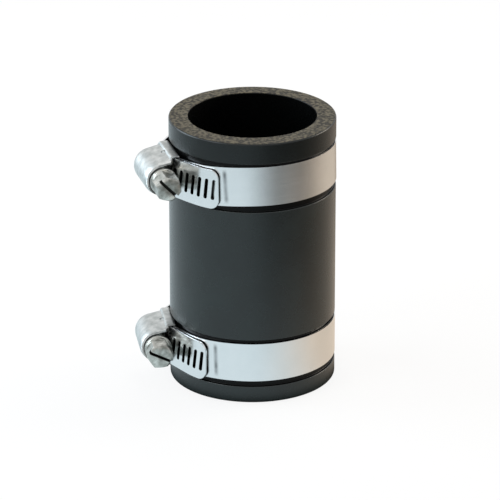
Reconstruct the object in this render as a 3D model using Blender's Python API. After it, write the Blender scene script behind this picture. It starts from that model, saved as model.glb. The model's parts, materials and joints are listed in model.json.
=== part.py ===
"""Flexible rubber pipe coupling: a moulded sleeve with two worm-drive hose clamps.

Each clamp is laid out in its own frame: the sleeve's axis is Z, the middle of the
housing is at +X, the worm screw lies along Y with its head at +Y, and the free end
of the strip comes out of the housing towards +Y. An empty then turns the whole
clamp to its place round the sleeve. A clamp that is drawn up by hand never lies
quite square: its ring leans a little in the seat, and its housing lies askew on
the ring, with the strip bending edgewise to follow it. All sizes are in metres.
"""

import math

import bmesh
import bpy
from mathutils import Matrix, Vector

# Rubber sleeve
BORE_RADIUS = 0.0211
SLEEVE_WALL = 0.0064
SLEEVE_LENGTH = 0.0910
RIM_ROUND = 0.0007
BORE_ROUND = 0.0004
SEAT_DEPTH = 0.0009
SEAT_SIDE_PLAY = 0.00165
SEAT_ROUND = 0.0003
UPPER_SEAT_INSET = 0.0154
LOWER_SEAT_INSET = 0.0140
SLEEVE_SEGMENTS = 72

# Clamp strip
STRIP_WIDTH = 0.0132
STRIP_THICKNESS = 0.0006
STRIP_CORNER = 0.0045
FLAT_HALF_LENGTH = 0.0052
TAIL_CORNER = 0.0030
TAIL_PAST_SLOT = 0.0017
RETURN_LENGTH = 0.0300
APPROACH_LENGTH = 0.0200
STRIP_STEP = math.radians(5.0)
MARK_SPACING = 0.0001

# Slots and thread, which share one pitch
PITCH = 0.0027
SLOT_WIDTH = 0.0013
SLOT_LENGTH = 0.0082
SLOT_CORNER = 0.0003
SLOTS_BEHIND = 13
SLOTS_AHEAD = 9
THREAD_HEIGHT = 0.0009
THREAD_CREST = 0.0005
THREAD_FOOT = 0.0009
THREAD_TURNS = 3
THREAD_STEPS = 24
THREAD_SINK = 0.0003

# Worm screw
ROOT_RADIUS = 0.0036
NOSE_RADIUS = 0.0024
NOSE_LENGTH = 0.0016
COLLAR_THICKNESS = 0.0011
FLANGE_RADIUS = 0.0046
FLANGE_THICKNESS = 0.0012
HEX_ACROSS_FLATS = 0.0080
HEX_LENGTH = 0.0054
HEX_CHAMFER = 0.0006
DRIVE_SLOT_WIDTH = 0.0012
DRIVE_SLOT_DEPTH = 0.0019
TURNED_SEGMENTS = 32

# Stamped housing
HOUSING_WALL = 0.0006
HOUSING_HALF_LENGTH = 0.0080
LIP_REACH = 0.0022
LIP_HALF_LENGTH = 0.0048
SIDE_ROUND = 0.0009
SHOULDER_ROUND = 0.0010
SHOULDER_FILLET = 0.0005
REAR_DOME_LENGTH = 0.0030
REAR_DOME_SCALE = 0.64
REAR_DOME_STATIONS = 5

# Clearances
STRIP_TO_SEAT = 0.00035
LIP_TO_SEAT = 0.00025
STRIP_TO_LIP = 0.0002
LAYER_GAP = 0.00035
SCREW_TO_STRIP = 0.00025
THREAD_TO_ARCH = 0.0007
STRIP_SIDE_GAP = 0.00025
STRIP_TO_SHOULDER = 0.0003
COLLAR_GAP = 0.0003

# Clamps. "seat" is the level of the seat's middle, "lift" how far the ring's centre lies above it,
# "lean_right" and "lean_back" the ring's rise per metre to the right and to the back, and "turn" the
# housing's place round the sleeve from +X. "skew" turns the housing on its ring, "drop" and "tail_drop"
# lower the housing and the end of the tail on it, and "drawn" moves the slots by this share of a pitch.
CLAMPS = (
    {
        "name": "upper", "seat": SLEEVE_LENGTH - UPPER_SEAT_INSET, "lift": 0.00014,
        "lean_right": 0.0151, "lean_back": -0.0205, "turn": math.radians(-162.5),
        "skew": math.radians(-4.6), "drop": 0.0002, "tail_drop": 0.0014,
        "drawn": -0.35, "head_turn": math.radians(-44.0),
    },
    {
        "name": "lower", "seat": LOWER_SEAT_INSET, "lift": 0.0004,
        "lean_right": 0.0, "lean_back": 0.0, "turn": math.radians(-171.0),
        "skew": math.radians(-2.6), "drop": 0.0002, "tail_drop": 0.0012,
        "drawn": -0.58, "head_turn": math.radians(-32.0),
    },
)

# Worked out from the sizes above
SLEEVE_RADIUS = BORE_RADIUS + SLEEVE_WALL
SEAT_RADIUS = SLEEVE_RADIUS - SEAT_DEPTH
SEAT_HALF_WIDTH = STRIP_WIDTH / 2 + SEAT_SIDE_PLAY
RING_RADIUS = SEAT_RADIUS + STRIP_TO_SEAT + STRIP_THICKNESS / 2
LAYER_STEP = STRIP_THICKNESS + LAYER_GAP
LIP_FACE = SEAT_RADIUS + LIP_TO_SEAT
FIXED_FLAT = LIP_FACE + HOUSING_WALL + STRIP_TO_LIP + STRIP_THICKNESS / 2
FREE_FLAT = FIXED_FLAT + LAYER_STEP
FREE_TOP = FREE_FLAT + STRIP_THICKNESS / 2
SCREW_AXIS = FREE_TOP + SCREW_TO_STRIP + ROOT_RADIUS
CREST_RADIUS = ROOT_RADIUS + THREAD_HEIGHT
ARCH_RADIUS = CREST_RADIUS + THREAD_TO_ARCH
CHANNEL_HALF_WIDTH = STRIP_WIDTH / 2 + STRIP_SIDE_GAP
SHOULDER_LEVEL = FREE_TOP + STRIP_TO_SHOULDER
SLOT_LEAN = PITCH / (2 * math.pi * (ROOT_RADIUS + CREST_RADIUS) / 2)
COLLAR_START = HOUSING_HALF_LENGTH + COLLAR_GAP


def clear_scene():
    for thing in list(bpy.data.objects):
        bpy.data.objects.remove(thing, do_unlink=True)


def make_material(name, color, metallic, roughness):
    material = bpy.data.materials.new(name)
    material.use_nodes = True
    shader = material.node_tree.nodes["Principled BSDF"]
    shader.inputs["Base Color"].default_value = (*color, 1.0)
    shader.inputs["Metallic"].default_value = metallic
    shader.inputs["Roughness"].default_value = roughness
    return material


def finish_mesh(shape, name):
    """Turn a bmesh into a mesh whose faces point outwards."""
    bmesh.ops.recalc_face_normals(shape, faces=shape.faces)
    if shape.calc_volume(signed=True) < 0.0:
        bmesh.ops.reverse_faces(shape, faces=shape.faces)
    mesh = bpy.data.meshes.new(name)
    shape.to_mesh(mesh)
    shape.free()
    return mesh


def place_object(name, mesh, material, parent, matrix=None):
    placed = bpy.data.objects.new(name, mesh)
    placed.parent = parent
    if matrix is not None:
        placed.matrix_local = matrix
    mesh.materials.clear()
    mesh.materials.append(material)
    mesh.shade_smooth()
    mesh.set_sharp_from_angle(angle=math.radians(30.0))
    bpy.context.collection.objects.link(placed)
    return placed


def filleted(corners, closed=True):
    """Outline through corners (a, b, radius, steps), each rounded by an arc."""
    outline = []
    last = len(corners) - 1
    for index, (a, b, radius, steps) in enumerate(corners):
        here = Vector((a, b))
        if radius == 0.0 or (not closed and index in (0, last)):
            outline.append(here)
            continue
        back = (Vector(corners[index - 1][:2]) - here).normalized()
        ahead = (Vector(corners[(index + 1) % len(corners)][:2]) - here).normalized()
        half = back.angle(ahead) / 2
        start = here + back * radius / math.tan(half)
        centre = here + (back + ahead).normalized() * radius / math.sin(half)
        first = math.atan2(start.y - centre.y, start.x - centre.x)
        sweep = math.pi - 2 * half
        if back.x * ahead.y - back.y * ahead.x > 0:
            sweep = -sweep
        for step in range(steps + 1):
            angle = first + sweep * step / steps
            outline.append(centre + radius * Vector((math.cos(angle), math.sin(angle))))
    return outline


def turned_mesh(name, outline, segments):
    """Solid of revolution about Z from a closed outline of (radius, height)."""
    shape = bmesh.new()
    rings = []
    for radius, height in outline:
        if radius == 0.0:
            rings.append([shape.verts.new((0.0, 0.0, height))])
            continue
        ring = []
        for step in range(segments):
            angle = 2 * math.pi * step / segments
            ring.append(shape.verts.new((radius * math.cos(angle), radius * math.sin(angle), height)))
        rings.append(ring)
    for index, ring in enumerate(rings):
        following = rings[(index + 1) % len(rings)]
        for step in range(segments):
            corners = [
                ring[step % len(ring)],
                ring[(step + 1) % len(ring)],
                following[(step + 1) % len(following)],
                following[step % len(following)],
            ]
            corners = list(dict.fromkeys(corners))
            if len(corners) > 2:
                shape.faces.new(corners)
    return finish_mesh(shape, name)


def sleeve_mesh():
    """Tube with rounded rims and a shallow seat for each clamp."""
    corners = [(BORE_RADIUS, 0.0, BORE_ROUND, 1), (SLEEVE_RADIUS, 0.0, RIM_ROUND, 2)]
    for middle in sorted(clamp["seat"] for clamp in CLAMPS):
        low = middle - SEAT_HALF_WIDTH
        high = middle + SEAT_HALF_WIDTH
        corners.append((SLEEVE_RADIUS, low, SEAT_ROUND, 1))
        corners.append((SEAT_RADIUS, low, SEAT_ROUND, 1))
        corners.append((SEAT_RADIUS, high, SEAT_ROUND, 1))
        corners.append((SLEEVE_RADIUS, high, SEAT_ROUND, 1))
    corners.append((SLEEVE_RADIUS, SLEEVE_LENGTH, RIM_ROUND, 2))
    corners.append((BORE_RADIUS, SLEEVE_LENGTH, BORE_ROUND, 1))
    return turned_mesh("rubber_sleeve", filleted(corners), SLEEVE_SEGMENTS)


class StripRoute:
    """Middle line of the strip, drawn forwards from its fixed end, seen along the axis."""

    def __init__(self, point, heading):
        self.point = Vector(point)
        self.heading = heading
        self.pieces = []
        self.length = 0.0

    def add(self, length, radius=None):
        """Go straight on, or turn left round an arc of this radius."""
        self.pieces.append((self.length, length, radius, self.point.copy(), self.heading))
        self.point, self.heading = self.after(length, radius, self.point, self.heading)
        self.length += length

    @staticmethod
    def after(length, radius, point, heading):
        forward = Vector((math.cos(heading), math.sin(heading)))
        if radius is None:
            return point + forward * length, heading
        left = Vector((-forward.y, forward.x))
        turn = length / radius
        centre = point + left * radius
        reached = centre + Matrix.Rotation(turn, 2) @ (point - centre)
        return reached, heading + turn

    def at(self, distance):
        """Point on the middle line and the outward direction there."""
        start, length, radius, point, heading = self.pieces[-1]
        for piece in self.pieces:
            if distance <= piece[0] + piece[1]:
                start, length, radius, point, heading = piece
                break
        reached, facing = self.after(distance - start, radius, point, heading)
        return reached, Vector((math.sin(facing), -math.cos(facing)))

    def stations(self, begin, end):
        """Distances between two ends that follow the arcs in small steps."""
        marks = [begin]
        for start, length, radius, _, _ in self.pieces:
            steps = 1 if radius is None else max(1, math.ceil(length / radius / STRIP_STEP))
            for step in range(steps + 1):
                mark = start + length * step / steps
                if marks[-1] + MARK_SPACING < mark < end - MARK_SPACING:
                    marks.append(mark)
        marks.append(end)
        return marks


def tangent_run(flat, corner, ring):
    """Turn round the corner arc and straight length from a flat down to the ring."""
    across = flat - corner
    reach = math.hypot(across, FLAT_HALF_LENGTH)
    lean = math.atan2(FLAT_HALF_LENGTH, across)
    turn = lean + math.acos((ring - corner) / reach)
    straight = math.sqrt(reach ** 2 - (ring - corner) ** 2)
    return turn, straight


def tail_clears_at(radius):
    """Distance along the screw at which the tail has dropped clear of this radius of the screw."""
    turn, _ = tangent_run(FIXED_FLAT, STRIP_CORNER, RING_RADIUS)
    corner = STRIP_CORNER + LAYER_STEP + STRIP_THICKNESS / 2
    drop = radius + SCREW_TO_STRIP - (SCREW_AXIS - FREE_TOP)
    after_corner = drop - corner * (1 - math.cos(turn))
    return FLAT_HALF_LENGTH + corner * math.sin(turn) + after_corner / math.tan(turn)


def head_places():
    """Distances along the screw of the flange, the hexagon's foot and its end."""
    flange = max(COLLAR_START + COLLAR_THICKNESS, tail_clears_at(FLANGE_RADIUS))
    foot = flange + FLANGE_THICKNESS
    return flange, foot, foot + HEX_LENGTH


def strip_route():
    """Route of the strip without its tail, and the distance at which it passes the middle of the screw."""
    ahead_turn, ahead_straight = tangent_run(FIXED_FLAT, STRIP_CORNER, RING_RADIUS)
    back_turn, back_straight = tangent_run(FREE_FLAT, STRIP_CORNER, RING_RADIUS)
    route = StripRoute((FIXED_FLAT, -FLAT_HALF_LENGTH), math.pi / 2)
    route.add(2 * FLAT_HALF_LENGTH)
    route.add(STRIP_CORNER * ahead_turn, STRIP_CORNER)
    route.add(ahead_straight)
    route.add(RING_RADIUS * (2 * math.pi - ahead_turn - back_turn), RING_RADIUS)
    route.add(back_straight)
    route.add(STRIP_CORNER * back_turn, STRIP_CORNER)
    middle = route.length + FLAT_HALF_LENGTH
    route.add(2 * FLAT_HALF_LENGTH)
    route.add((STRIP_CORNER + LAYER_STEP) * ahead_turn, STRIP_CORNER + LAYER_STEP)
    route.add(ahead_straight)
    route.add(RING_RADIUS, RING_RADIUS + LAYER_STEP)
    return route, middle


def eased(begin, slope, end, share, length):
    """Smooth curve that leaves begin at this slope and comes to rest at end after this length."""
    share = min(1.0, share)
    from_begin = begin * (2 * share ** 3 - 3 * share ** 2 + 1)
    from_slope = slope * length * (share ** 3 - 2 * share ** 2 + share)
    return from_begin + from_slope + end * (3 * share ** 2 - 2 * share ** 3)


def strip_level(distance, middle, tail, clamp):
    """Height of the strip's middle line on the clamp's ring, at a distance along the strip."""
    slope = math.tan(clamp["skew"])
    fixed_end = 2 * FLAT_HALF_LENGTH
    flat_begin = middle - FLAT_HALF_LENGTH
    flat_end = middle + FLAT_HALF_LENGTH
    at_head_side = -clamp["drop"] + slope * FLAT_HALF_LENGTH
    at_rear_side = -clamp["drop"] - slope * FLAT_HALF_LENGTH
    if distance < fixed_end:
        return -clamp["drop"] + slope * (distance - FLAT_HALF_LENGTH)
    if distance < middle / 2:
        share = (distance - fixed_end) / RETURN_LENGTH
        return eased(at_head_side, slope, 0.0, share, RETURN_LENGTH)
    if distance < flat_begin:
        share = (flat_begin - distance) / APPROACH_LENGTH
        return eased(at_rear_side, -slope, 0.0, share, APPROACH_LENGTH)
    if distance < flat_end:
        return -clamp["drop"] + slope * (distance - middle)
    length = tail - flat_end
    return eased(at_head_side, slope, -clamp["tail_drop"], (distance - flat_end) / length, length)


def slot_outline(centre):
    """Corners of one slot in the flat strip, as (distance, height)."""
    corners = []
    for along, up in ((-1, -1), (1, -1), (1, 1), (-1, 1)):
        distance = along * SLOT_WIDTH / 2
        height = up * SLOT_LENGTH / 2
        side = (distance, height - up * SLOT_CORNER)
        end = (distance - along * SLOT_CORNER, height)
        corners += [side, end] if along * up > 0 else [end, side]
    corners = corners[1:] + corners[:1]
    return [(centre + distance + height * SLOT_LEAN, height) for distance, height in corners]


def strip_mesh(clamp):
    """Flat strip with slots, wrapped on its route and given its thickness."""
    route, middle = strip_route()
    first_slot = middle + (clamp["drawn"] - SLOTS_BEHIND) * PITCH
    tail = first_slot + (SLOTS_BEHIND + SLOTS_AHEAD) * PITCH + TAIL_PAST_SLOT
    half = STRIP_WIDTH / 2
    shape = bmesh.new()
    known = {}

    def vertex(distance, height, side):
        key = (round(distance, 8), round(height, 8), side)
        if key not in known:
            level = strip_level(distance, middle, tail, clamp)
            rise = (strip_level(distance + MARK_SPACING, middle, tail, clamp) - level) / MARK_SPACING
            point, outward = route.at(distance - rise * height)
            point = point + outward * side * STRIP_THICKNESS / 2
            known[key] = shape.verts.new((point.x, point.y, height + level))
        return known[key]

    def panel(corners):
        shape.faces.new([vertex(*corner, 1) for corner in corners])
        shape.faces.new([vertex(*corner, -1) for corner in reversed(corners)])

    def wall(corners):
        for index, corner in enumerate(corners):
            following = corners[(index + 1) % len(corners)]
            shape.faces.new([
                vertex(*corner, 1), vertex(*corner, -1), vertex(*following, -1), vertex(*following, 1),
            ])

    lower_edge = []
    upper_edge = []
    marks = route.stations(0.0, first_slot - 0.5 * PITCH)
    for begin, end in zip(marks, marks[1:]):
        panel([(begin, -half), (end, -half), (end, half), (begin, half)])
        lower_edge.append((begin, -half))
        upper_edge.append((begin, half))
    for number in range(SLOTS_BEHIND + SLOTS_AHEAD + 1):
        centre = first_slot + number * PITCH
        begin = first_slot + (number - 0.5) * PITCH
        end = first_slot + (number + 0.5) * PITCH
        lower = [(begin, -half), (centre, -half), (end, -half)]
        upper = [(begin, half), (centre, half), (end, half)]
        if number == SLOTS_BEHIND + SLOTS_AHEAD:
            corner = min(TAIL_CORNER, 0.9 * (tail - begin))
            rounded = filleted([
                (begin, -half, 0.0, 0), (tail, -half, corner, 4), (tail, half, corner, 4), (begin, half, 0.0, 0),
            ], closed=False)
            rounded = [(point.x, point.y) for point in rounded]
            lower = rounded[:len(rounded) // 2]
            upper = rounded[:len(rounded) // 2 - 1:-1]
        hole = slot_outline(centre)
        panel(lower + [hole[2], hole[1], hole[0], hole[7]])
        panel(upper[::-1] + [hole[6], hole[5], hole[4], hole[3]])
        panel([upper[0], lower[0], hole[7], hole[6]])
        panel([lower[-1], upper[-1], hole[3], hole[2]])
        wall(hole[::-1])
        shared = len(lower) if number == SLOTS_BEHIND + SLOTS_AHEAD else -1
        lower_edge += lower[:shared]
        upper_edge += upper[:shared]
    wall(lower_edge + upper_edge[::-1])
    return finish_mesh(shape, "clamp_strip")


def screw_profile():
    """Closed outline of the plain turned screw, as (radius, distance along its axis)."""
    flange, foot, _ = head_places()
    nose_end = -HOUSING_HALF_LENGTH - NOSE_LENGTH / 2
    nose_start = nose_end + NOSE_LENGTH
    return filleted([
        (0.0, nose_end, 0.0, 0),
        (NOSE_RADIUS, nose_end, NOSE_LENGTH / 4, 2),
        (NOSE_RADIUS, nose_start, 0.0, 0),
        (ROOT_RADIUS, nose_start + (ROOT_RADIUS - NOSE_RADIUS) / 2, 0.0, 0),
        (ROOT_RADIUS, COLLAR_START, 0.0, 0),
        (CREST_RADIUS, COLLAR_START, 0.0, 0),
        (CREST_RADIUS, flange, 0.0, 0),
        (FLANGE_RADIUS, flange, FLANGE_THICKNESS / 4, 2),
        (FLANGE_RADIUS, foot, FLANGE_THICKNESS / 4, 2),
        (0.0, foot, 0.0, 0),
    ])


def thread_mesh(drawn):
    """Right-hand thread ridge, wound round Z, with its ends run out to the root.

    At this share of a pitch past its middle it lies at -X, the side that faces the strip.
    """
    shape = bmesh.new()
    half_travel = THREAD_TURNS * PITCH / 2
    inner = ROOT_RADIUS - THREAD_SINK
    total = THREAD_TURNS * THREAD_STEPS
    run_out = THREAD_STEPS / 3
    rings = []
    for step in range(total + 1):
        angle = math.pi + 2 * math.pi * ((step - total / 2) / THREAD_STEPS - drawn)
        middle = -half_travel + PITCH * step / THREAD_STEPS
        rise = min(1.0, step / run_out, (total - step) / run_out)
        crest = ROOT_RADIUS - THREAD_SINK / 2 + (THREAD_HEIGHT + THREAD_SINK / 2) * rise
        section = (
            (inner, -THREAD_FOOT / 2), (crest, -THREAD_CREST / 2),
            (crest, THREAD_CREST / 2), (inner, THREAD_FOOT / 2),
        )
        ring = []
        for radius, offset in section:
            ring.append(shape.verts.new((radius * math.cos(angle), radius * math.sin(angle), middle + offset)))
        rings.append(ring)
    for ring, following in zip(rings, rings[1:]):
        for index in range(len(ring)):
            beside = (index + 1) % len(ring)
            shape.faces.new([ring[index], ring[beside], following[beside], following[index]])
    shape.faces.new(rings[0])
    shape.faces.new(rings[-1])
    return finish_mesh(shape, "thread_ridge")


def hex_mesh(turn):
    """Hexagon head with its outer edge chamfered, its foot sunk into the flange."""
    _, foot, end = head_places()
    shape = bmesh.new()
    corner_radius = HEX_ACROSS_FLATS / math.sqrt(3.0)
    levels = (
        (corner_radius, foot - FLANGE_THICKNESS / 2),
        (corner_radius, end - HEX_CHAMFER),
        (corner_radius - HEX_CHAMFER, end),
    )
    rings = []
    for radius, height in levels:
        ring = []
        for step in range(6):
            angle = turn + math.pi * step / 3
            ring.append(shape.verts.new((radius * math.cos(angle), radius * math.sin(angle), height)))
        rings.append(ring)
    for ring, following in zip(rings, rings[1:]):
        for index in range(6):
            beside = (index + 1) % 6
            shape.faces.new([ring[index], ring[beside], following[beside], following[index]])
    shape.faces.new(rings[0])
    shape.faces.new(rings[-1])
    return finish_mesh(shape, "hex_head")


def drive_slot_mesh(turn):
    """Block that cuts the screwdriver slot across the head."""
    _, _, end = head_places()
    size = (2 * HEX_ACROSS_FLATS, DRIVE_SLOT_WIDTH, 2 * DRIVE_SLOT_DEPTH)
    matrix = Matrix.Translation((0.0, 0.0, end)) @ Matrix.Rotation(turn, 4, "Z")
    return block_mesh("drive_slot", size, matrix)


def block_mesh(name, size, matrix):
    """Rectangular block of this size about its own middle, placed by a matrix."""
    shape = bmesh.new()
    bmesh.ops.create_cube(shape, size=1.0)
    bmesh.ops.scale(shape, vec=size, verts=shape.verts)
    bmesh.ops.transform(shape, matrix=matrix, verts=shape.verts)
    return finish_mesh(shape, name)


def combined_mesh(name, base, steps):
    """Base mesh with each (operation, mesh) of steps applied by an exact Boolean."""
    body = bpy.data.objects.new(name + "_blank", base)
    bpy.context.collection.objects.link(body)
    helpers = [body]
    for operation, mesh in steps:
        helper = bpy.data.objects.new(mesh.name, mesh)
        helper.hide_render = True
        helper.display_type = "WIRE"
        bpy.context.collection.objects.link(helper)
        helpers.append(helper)
        cut = body.modifiers.new(mesh.name, "BOOLEAN")
        cut.operation = operation
        cut.object = helper
        cut.solver = "EXACT"
    bpy.context.view_layer.update()
    evaluated = body.evaluated_get(bpy.context.evaluated_depsgraph_get())
    mesh = bpy.data.meshes.new_from_object(evaluated)
    mesh.name = name
    for helper in helpers:
        bpy.data.objects.remove(helper, do_unlink=True)
    return mesh


def screw_mesh(clamp):
    """Worm screw along Z: turned body, thread, and a slotted hexagon head."""
    turn = clamp["head_turn"]
    blank = turned_mesh("screw_blank", screw_profile(), TURNED_SEGMENTS)
    steps = (
        ("UNION", thread_mesh(clamp["drawn"])),
        ("UNION", hex_mesh(turn)),
        ("DIFFERENCE", drive_slot_mesh(turn)),
    )
    return combined_mesh("worm_screw", blank, steps)


def housing_side(wall, arch_scale):
    """One face of the shell's section, as (outward, across): inner face at wall 0."""
    arch = ARCH_RADIUS * arch_scale + wall
    side = CHANNEL_HALF_WIDTH + wall
    lip = LIP_FACE + HOUSING_WALL - wall
    level = SHOULDER_LEVEL + wall
    crown = SCREW_AXIS + arch
    lip_round = SIDE_ROUND - HOUSING_WALL + wall
    shoulder_round = SHOULDER_ROUND - HOUSING_WALL + wall
    fillet = SHOULDER_FILLET + HOUSING_WALL - wall
    tip = CHANNEL_HALF_WIDTH - LIP_REACH
    half = [
        (lip, tip, 0.0, 0),
        (lip, side, lip_round, 2),
        (level, side, shoulder_round, 3),
        (level, arch, fillet, 2),
        (crown, arch, 0.999 * arch, 6),
    ]
    other = [(outward, -across, radius, steps) for outward, across, radius, steps in reversed(half)]
    return filleted(half + other, closed=False)


def housing_stations():
    """Distance along the screw and arch scale of each section, rear first."""
    stations = []
    for step in range(REAR_DOME_STATIONS + 1):
        share = step / REAR_DOME_STATIONS
        angle = share * math.pi / 2
        distance = -HOUSING_HALF_LENGTH + REAR_DOME_LENGTH * (1 - math.cos(angle))
        scale = REAR_DOME_SCALE + (1 - REAR_DOME_SCALE) * math.sin(angle)
        stations.append((distance, scale))
    stations.append((HOUSING_HALF_LENGTH, 1.0))
    return stations


def housing_mesh():
    """Shell lofted along the screw from paired inner and outer section lines."""
    shape = bmesh.new()
    sections = []
    for distance, scale in housing_stations():
        section = []
        for wall in (HOUSING_WALL, 0.0):
            line = housing_side(wall, scale)
            section.append([shape.verts.new((point.x, distance, point.y)) for point in line])
        sections.append(section)

    def skin(first, second):
        for index in range(len(first) - 1):
            shape.faces.new([first[index], first[index + 1], second[index + 1], second[index]])

    for (outer, inner), (next_outer, next_inner) in zip(sections, sections[1:]):
        skin(outer, next_outer)
        skin(next_inner, inner)
        for tip in (0, -1):
            shape.faces.new([outer[tip], inner[tip], next_inner[tip], next_outer[tip]])
    for outer, inner in (sections[0], sections[-1]):
        skin(outer, inner)
    shell = finish_mesh(shape, "housing_shell")
    notch = HOUSING_HALF_LENGTH - LIP_HALF_LENGTH
    width = 2 * CHANNEL_HALF_WIDTH + HOUSING_WALL / 4
    steps = []
    for end in (-1, 1):
        place = Matrix.Translation((LIP_FACE, end * (LIP_HALF_LENGTH + notch), 0.0))
        steps.append(("DIFFERENCE", block_mesh("lip_notch", (4 * HOUSING_WALL, 2 * notch, width), place)))
    return combined_mesh("clamp_housing", shell, steps)


def add_clamp(clamp, housing, materials, root):
    """Place one clamp: an empty on the sleeve's axis carries strip, housing and screw."""
    label = clamp["name"]
    carrier = bpy.data.objects.new(label + "_clamp", None)
    carrier.parent = root
    leant = Matrix.Rotation(-math.asin(clamp["lean_right"]), 4, "Y")
    leant = leant @ Matrix.Rotation(math.asin(clamp["lean_back"]), 4, "X")
    turned = leant @ Matrix.Rotation(clamp["turn"], 4, "Z")
    carrier.matrix_local = Matrix.Translation((0.0, 0.0, clamp["seat"] + clamp["lift"])) @ turned
    bpy.context.collection.objects.link(carrier)
    place_object(label + "_band", strip_mesh(clamp), materials["strip"], carrier)
    askew = Matrix.Translation((0.0, 0.0, -clamp["drop"])) @ Matrix.Rotation(clamp["skew"], 4, "X")
    place_object(label + "_housing", housing, materials["housing"], carrier, askew)
    along_y = Matrix.Rotation(math.radians(-90.0), 4, "X")
    seat = askew @ Matrix.Translation((SCREW_AXIS, 0.0, 0.0)) @ along_y
    place_object(label + "_screw", screw_mesh(clamp), materials["screw"], carrier, seat)


def centre_footprint(root):
    """Move the model so that the middle of its footprint is over the origin."""
    bpy.context.view_layer.update()
    corners = []
    for thing in bpy.data.objects:
        if thing.type == "MESH":
            corners += [thing.matrix_world @ vertex.co for vertex in thing.data.vertices]
    middle_x = (min(point.x for point in corners) + max(point.x for point in corners)) / 2
    middle_y = (min(point.y for point in corners) + max(point.y for point in corners)) / 2
    root.location = (-middle_x, -middle_y, 0.0)
    bpy.context.view_layer.update()
    print("sleeve axis at", round(-middle_x, 6), round(-middle_y, 6))


def main():
    clear_scene()
    materials = {
        "rubber": make_material("moulded rubber", (0.035, 0.040, 0.042), 0.0, 0.62),
        "strip": make_material("rolled stainless strip", (0.62, 0.64, 0.66), 1.0, 0.28),
        "housing": make_material("stamped stainless housing", (0.58, 0.59, 0.60), 1.0, 0.35),
        "screw": make_material("plated steel screw", (0.52, 0.53, 0.52), 1.0, 0.30),
    }
    root = bpy.data.objects.new("coupling", None)
    bpy.context.collection.objects.link(root)
    place_object("rubber_sleeve", sleeve_mesh(), materials["rubber"], root)
    for clamp in CLAMPS:
        add_clamp(clamp, housing_mesh(), materials, root)
    centre_footprint(root)


main()
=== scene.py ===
# %% [markdown]
# # A rubber pipe coupling with two worm-drive clamps
#
# The object is a thick rubber sleeve that joins two plain pipe ends. Near each end a
# stainless strip goes round it, and a worm screw in a small housing draws the strip tight.
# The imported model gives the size, the place and the motion of each piece. This script gives
# each piece its fine mesh and its finish, and never moves or resizes anything.

# %% Load the fixed frame
import json
import math

import bmesh
import bpy
from mathutils import Matrix, Vector


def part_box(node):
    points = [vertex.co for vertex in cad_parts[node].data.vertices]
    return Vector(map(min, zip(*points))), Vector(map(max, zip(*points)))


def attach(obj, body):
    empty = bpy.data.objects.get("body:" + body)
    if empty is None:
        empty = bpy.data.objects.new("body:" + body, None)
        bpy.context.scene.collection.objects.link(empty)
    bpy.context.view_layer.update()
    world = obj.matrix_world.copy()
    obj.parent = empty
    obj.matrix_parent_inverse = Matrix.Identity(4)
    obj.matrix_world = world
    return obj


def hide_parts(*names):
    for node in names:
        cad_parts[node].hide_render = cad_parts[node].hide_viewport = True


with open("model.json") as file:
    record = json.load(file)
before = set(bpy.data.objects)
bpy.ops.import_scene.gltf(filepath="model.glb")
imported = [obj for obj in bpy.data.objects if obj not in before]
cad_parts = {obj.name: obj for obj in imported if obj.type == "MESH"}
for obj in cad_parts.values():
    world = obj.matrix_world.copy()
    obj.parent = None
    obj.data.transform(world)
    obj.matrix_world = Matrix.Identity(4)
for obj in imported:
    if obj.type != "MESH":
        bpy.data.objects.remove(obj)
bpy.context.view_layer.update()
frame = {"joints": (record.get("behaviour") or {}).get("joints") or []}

# %% [markdown]
# The sleeve stands on the origin's plane, but its axis isn't over the origin, because both
# housings stand out on one side. The joint that lets a clamp slide round the sleeve has the
# sleeve's axis, so the axis is read from there instead of being typed in again.

# %% Find the sleeve's axis
joints = {joint["name"]: joint for joint in frame["joints"]}
AXIS_X, AXIS_Y, _ = joints["upper_clamp_turn"]["pos_m"]
sleeve_low, sleeve_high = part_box("rubber_sleeve")
SLEEVE_LENGTH = sleeve_high.z - sleeve_low.z
SLEEVE_RADIUS = (sleeve_high.x - sleeve_low.x) / 2
print("sleeve, mm: length %.1f, radius %.2f" % (1000 * SLEEVE_LENGTH, 1000 * SLEEVE_RADIUS))

# %% [markdown]
# Colours are written as sRGB hex values, the way a paint chart or a web page gives them. Blender
# mixes light in linear numbers, so one function turns each hex value to linear. The others each add
# one kind of shader node with its settings and links, which keeps the finishes short enough to read.

# %% Colour and node helpers
def linear(hex_colour):
    """Linear RGBA of an sRGB hex value such as '#8899aa'."""
    channels = [int(hex_colour[place:place + 2], 16) / 255 for place in (1, 3, 5)]
    return [c / 12.92 if c <= 0.04045 else ((c + 0.055) / 1.055) ** 2.4 for c in channels] + [1.0]


def put_in_scene(name, data):
    """New object that shows this mesh, lamp or camera."""
    thing = bpy.data.objects.new(name, data)
    bpy.context.scene.collection.objects.link(thing)
    return thing


def add_node(tree, kind, inputs=None, **settings):
    """Add a node, set its properties, and fill each input with a value or a link."""
    node = tree.nodes.new(kind)
    for name, value in settings.items():
        setattr(node, name, value)
    for name, value in (inputs or {}).items():
        if isinstance(value, bpy.types.NodeSocket):
            tree.links.new(value, node.inputs[name])
        else:
            node.inputs[name].default_value = value
    return node


def new_material(name, **numbers):
    """Material with a Principled shader whose uniform numbers are set on its own sockets."""
    material = bpy.data.materials.new(name)
    material.use_nodes = True
    shader = material.node_tree.nodes["Principled BSDF"]
    for socket, value in numbers.items():
        shader.inputs[socket.replace("_", " ")].default_value = value
    return material, material.node_tree, shader


def feed(tree, shader, **outputs):
    """Link outputs to a shader's sockets; an underscore stands for a space."""
    for socket, output in outputs.items():
        tree.links.new(output, shader.inputs[socket.replace("_", " ")])


def worked_out(tree, operation, first, second=0.0):
    return add_node(tree, "ShaderNodeMath", {0: first, 1: second}, operation=operation).outputs[0]


def product(tree, first, second):
    return worked_out(tree, "MULTIPLY", first, second)


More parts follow.
